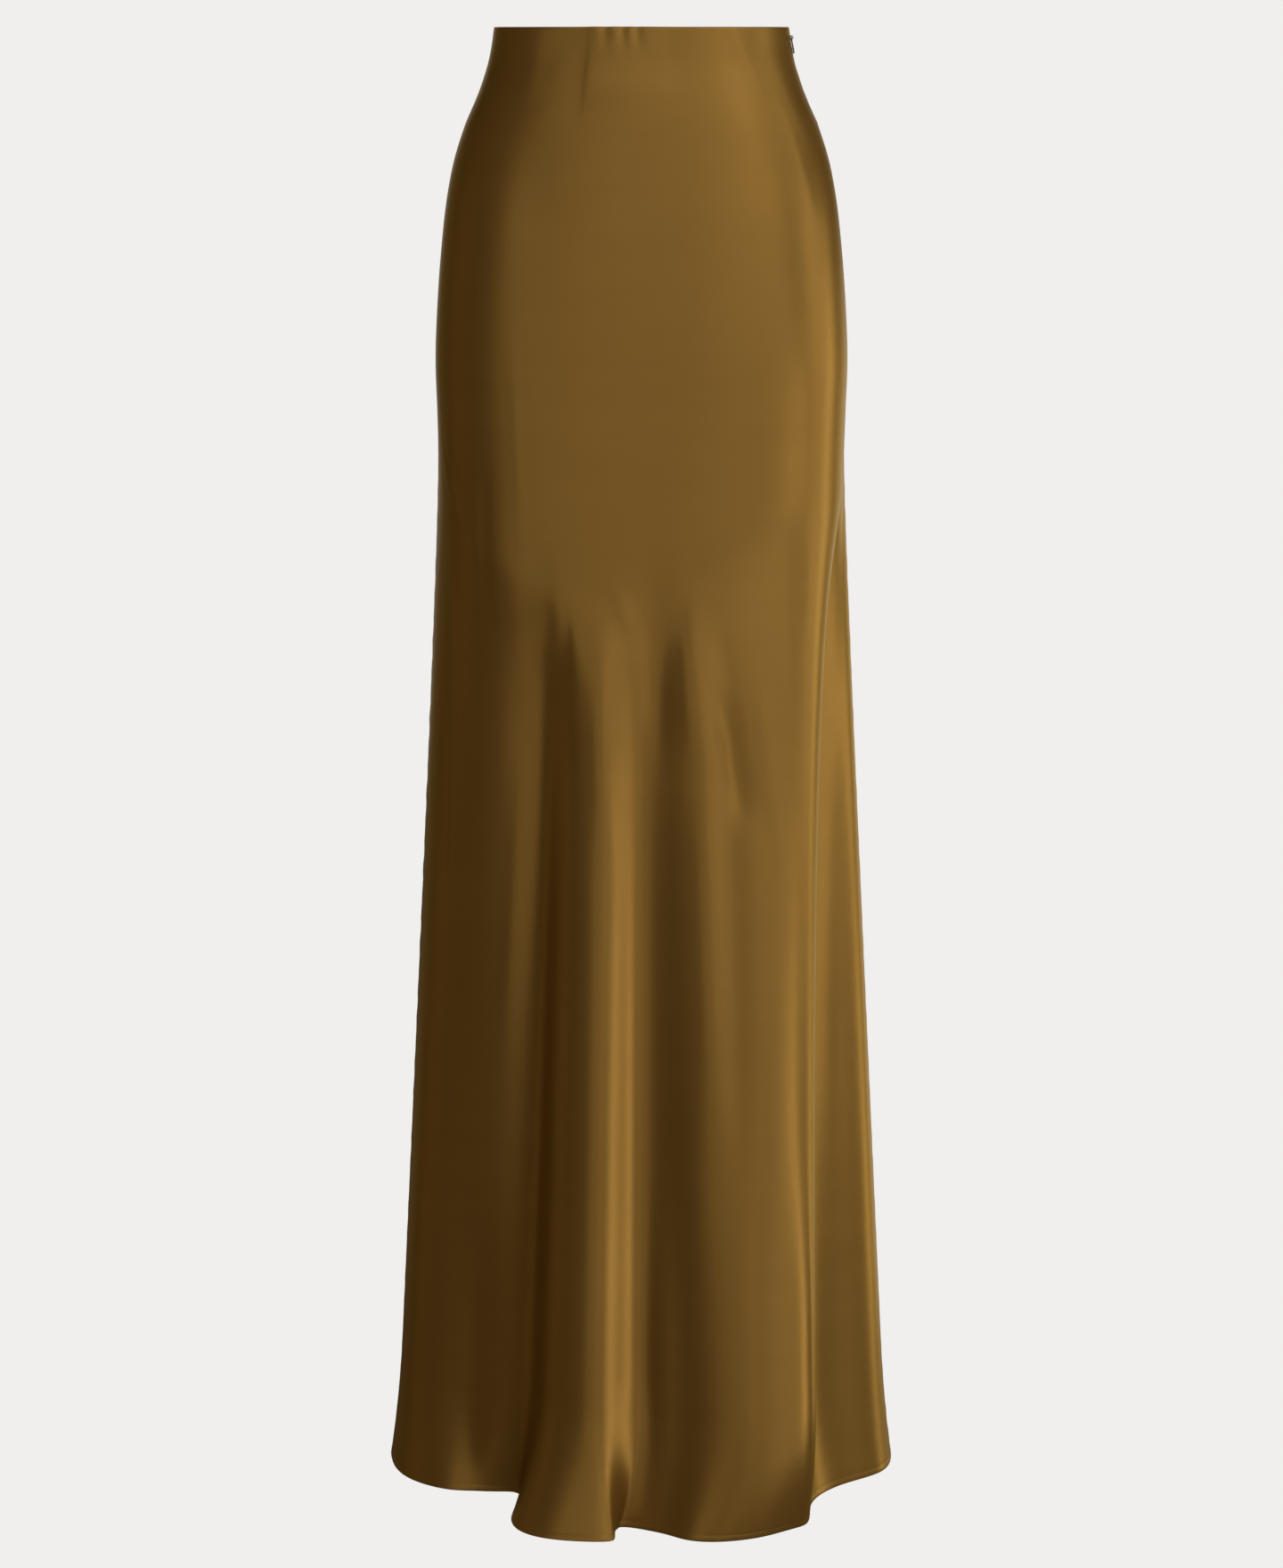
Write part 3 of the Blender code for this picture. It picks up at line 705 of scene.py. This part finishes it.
# name, degrees round from the front towards the wearer's left, degrees up, width, height, watts, tint
SOFTBOXES = (
    ("front", -14, -2, 4.0, 2.6, 14.3, WHITE),
    ("left front", 30, 9, 2.4, 2.2, 10.0, WHITE),
    ("left front shoulder", 40, 20, 1.8, 0.8, 3.2, WHITE),
    ("left middle", 60, -9, 0.7, 0.9, 5.2, WHITE),
    ("left", 83, 5, 1.5, 1.7, 10.0, WHITE),
    ("left low", 57, -21, 1.1, 1.2, 7.6, WHITE),
    ("left middle strip", 48, -3, 1.0, 0.3, 1.3, WHITE),
    ("left side strip", 107, -1, 0.6, 0.5, 3.0, WHITE),
    ("left side", 108, 1, 1.4, 1.2, 7.0, WHITE),
    ("left side low", 117, -17, 1.1, 0.8, 6.4, WHITE),
    ("back left", 148, -10, 1.6, 1.7, 10, WHITE),
    ("front high", 10, 48, 3.2, 2.2, 20, WHITE),
    ("left front high", 50, 48, 2.4, 2.2, 16, WHITE),
    ("left front low", 30, -25, 3.0, 1.2, 5, WHITE),
    ("front shoulder", 10, 20, 1.8, 0.9, 2.6, WHITE),
    ("left shoulder", 70, 20, 1.1, 0.8, 3.4, WHITE),
    ("left side high", 90, 35, 1.6, 0.9, 5, WHITE),
    ("right shoulder", -34, 19, 0.9, 1.0, 1.4, WHITE),
    ("right side", -100, -4, 2.4, 2.8, 1.9, WARM),
    ("back right", -145, -3, 2.0, 2.4, 1.6, WHITE),
    ("back", 180, 8, 3.0, 2.4, 13, WHITE),
)
SOFTBOX_DISTANCE = 3.6
SOFTBOX_AIM = Vector((0, 0, -0.5))  # the middle of the skirt


def add_camera():
    """A long lens, straight in front of the skirt and tipped down towards its middle."""
    data = bpy.data.cameras.new("camera")
    data.lens = LENS
    data.sensor_width = 36
    camera = bpy.data.objects.new("camera", data)
    camera.location = (0, -CAMERA_BACK, CAMERA_RISE)
    camera.rotation_euler = (math.pi / 2 - CAMERA_PITCH, 0, 0)
    bpy.context.scene.collection.objects.link(camera)
    bpy.context.scene.camera = camera


def add_softboxes():
    """Soft area lights round the skirt, all aimed at its middle from the same distance."""
    for name, degrees_round, degrees_up, width, height, watts, tint in SOFTBOXES:
        data = bpy.data.lights.new(name, "AREA")
        data.shape = "RECTANGLE"
        data.size, data.size_y = width, height
        data.energy = watts
        data.color = tint
        light = bpy.data.objects.new(name, data)
        turn, rise = math.radians(degrees_round), math.radians(degrees_up)
        away = Vector((math.sin(turn) * math.cos(rise), -math.cos(turn) * math.cos(rise), math.sin(rise)))
        light.location = SOFTBOX_AIM + SOFTBOX_DISTANCE * away
        light.rotation_euler = away.to_track_quat("Z", "Y").to_euler()
        bpy.context.scene.collection.objects.link(light)


def add_backdrop():
    """A pale floor far below the hem, which lets the light through."""
    pale = bpy.data.materials.new("pale_backdrop")
    pale.use_nodes = True
    nodes, links = pale.node_tree.nodes, pale.node_tree.links
    nodes.clear()
    glow = nodes.new("ShaderNodeEmission")
    glow.inputs["Color"].default_value = (*BACKDROP, 1)
    output = nodes.new("ShaderNodeOutputMaterial")
    links.new(glow.outputs[0], output.inputs["Surface"])
    bpy.ops.mesh.primitive_plane_add(size=40, location=(0, 0, -FLOOR_DROP))
    floor = bpy.context.object
    floor.name = "floor"
    floor.data.materials.append(pale)
    floor.visible_diffuse = False
    floor.visible_glossy = False
    floor.visible_shadow = False


def add_surround():
    """A pale surround that is seen at its full brightness and lights the skirt only softly."""
    world = bpy.data.worlds.new("studio")
    world.use_nodes = True
    nodes, links = world.node_tree.nodes, world.node_tree.links
    nodes.clear()
    seen = nodes.new("ShaderNodeBackground")
    seen.inputs["Color"].default_value = (*BACKDROP, 1)
    fill = nodes.new("ShaderNodeBackground")
    fill.inputs["Color"].default_value = (*WARM, 1)
    fill.inputs["Strength"].default_value = SURROUND
    path = nodes.new("ShaderNodeLightPath")
    mixed = nodes.new("ShaderNodeMixShader")
    output = nodes.new("ShaderNodeOutputWorld")
    links.new(path.outputs["Is Camera Ray"], mixed.inputs[0])
    links.new(fill.outputs[0], mixed.inputs[1])
    links.new(seen.outputs[0], mixed.inputs[2])
    links.new(mixed.outputs[0], output.inputs["Surface"])
    bpy.context.scene.world = world
    bpy.context.scene.view_settings.view_transform = "Standard"


# ---------------------------------------------------------------- the skirt

add_camera()
add_backdrop()
add_surround()
add_softboxes()

satin = satin_finish("bronze_satin", 0.7, (0.274, 0.149, 0.0320), (0.336, 0.186, 0.0425), 0.32)
wrong_side = satin_finish("satin_wrong_side", 0.25, (0.150, 0.084, 0.022), (0.190, 0.108, 0.030), 0.55)
thread = thread_finish("stitch_thread", (0.250, 0.132, 0.026), 0.5, 900)
tape = thread_finish("woven_zip_tape", (0.120, 0.075, 0.025), 0.8, 500)
nylon = thread_finish("nylon_zip_coil", (0.150, 0.092, 0.030), 0.4, 900)
metal = brushed_metal("brushed_zip_metal", (0.22, 0.145, 0.060), 0.34)

front_grid = panel_grid(0, FRONT_COLUMNS)
back_grid = panel_grid(hem_place(LEFT_SEAM), BACK_COLUMNS)
front = add_panel("front_satin", front_grid, satin, wrong_side)
back = add_panel("back_satin", back_grid, satin, wrong_side)
for panel, node, cut in ((front, "front_panel", FRONT_CUT), (back, "back_panel", BACK_CUT)):
    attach(panel, "skirt")
    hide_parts(node)

hem_stitches = add_hem_stitches((front_grid, back_grid), thread)
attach(hem_stitches, "skirt")

coil = add_coil(nylon)
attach(coil, "skirt")
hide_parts("zip_coil")

for node, surface in (
    ("zip_tape_front", tape),
    ("zip_tape_back", tape),
    ("zip_slider", metal),
    ("zip_pull_tab", metal),
):
    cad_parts[node].data.materials.clear()
    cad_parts[node].data.materials.append(surface)
